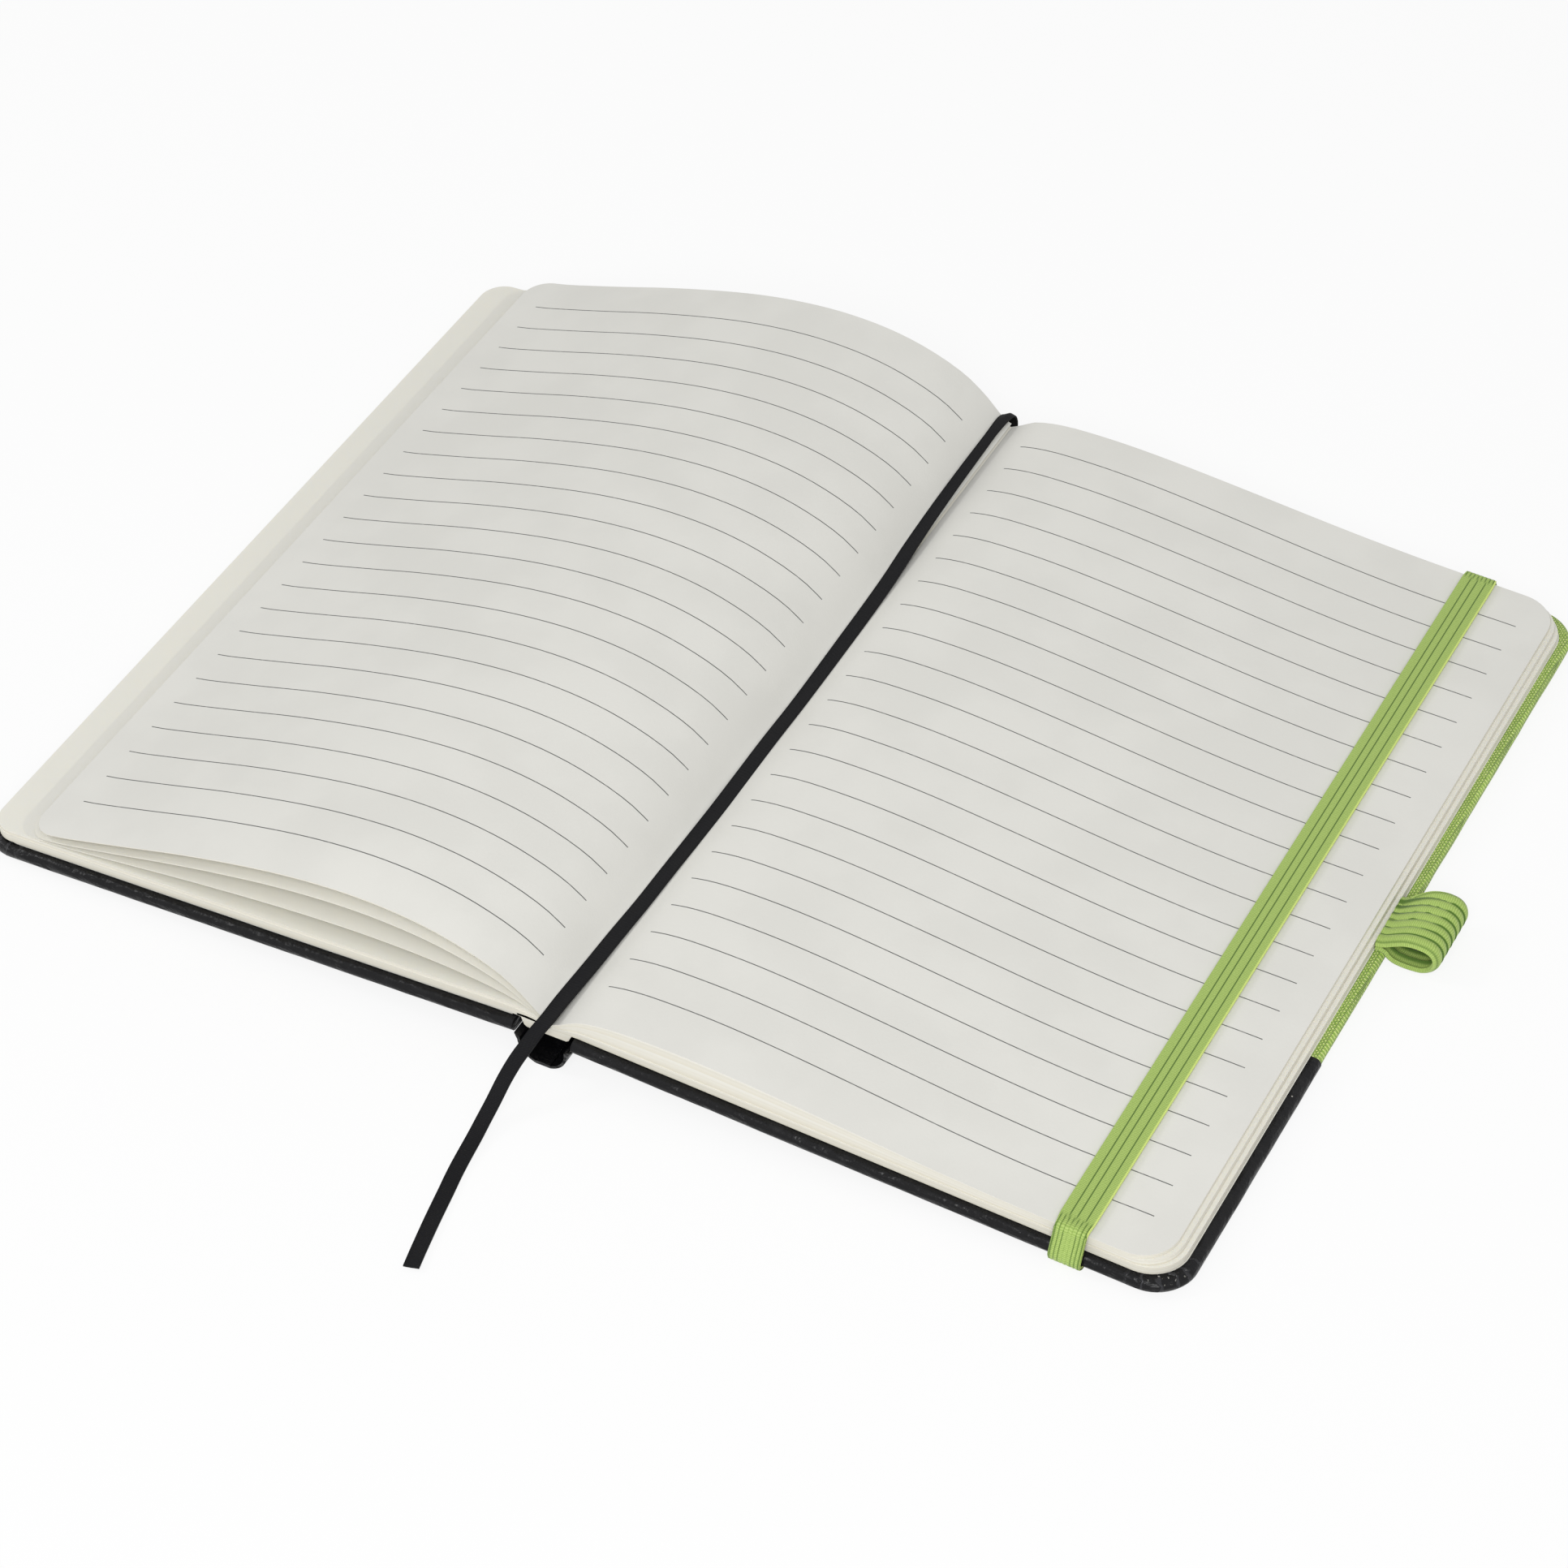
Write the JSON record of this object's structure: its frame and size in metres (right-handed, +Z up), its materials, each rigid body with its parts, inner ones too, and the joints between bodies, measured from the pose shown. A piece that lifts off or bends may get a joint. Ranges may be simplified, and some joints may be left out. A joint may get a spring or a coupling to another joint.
{
  "type": "notebook",
  "caption": "Open hardcover notebook with ruled leaves, two-tone cloth case, elastic band, pen loop and ribbon bookmark.",
  "frame": {"origin": "middle of the spine strip's flat underside, on the table, halfway between head and tail", "axes": "+X across the spread from the spine towards the back cover's fore edge, +Y along the spine towards the head, +Z up from the table"},
  "size_m": [0.2835, 0.2673, 0.0278],
  "materials": {
    "paper": "smooth off-white writing paper with cream edges",
    "endpaper": "smooth cream endpaper",
    "greyboard": "dense grey bookbinding board",
    "leatherette": "black satin leatherette",
    "canvas": "lime green canvas weave",
    "elastic": "light green ribbed elastic",
    "ribbon": "black satin ribbon",
    "lining_cloth": "black lining cloth"
  },
  "bodies": {
    "book": {"page_block": "paper", "spine_lining": "lining_cloth", "board_back": "greyboard", "pastedown_back": "endpaper", "leatherette_back": "leatherette", "canvas_back": "canvas", "elastic_band": "elastic", "pen_loop": "elastic", "ribbon_bookmark": "ribbon"},
    "front_cover": {"board_front": "greyboard", "pastedown_front": "endpaper", "leatherette_front": "leatherette", "canvas_front": "canvas"}
  },
  "joints": [
    {"name": "front_cover_hinge", "type": "hinge", "parent": "book", "child": "front_cover", "pos_m": [-0.0065, 0, 0.0062], "axis": [0, 1, 0], "range_deg": [-100, 0]}
  ]
}
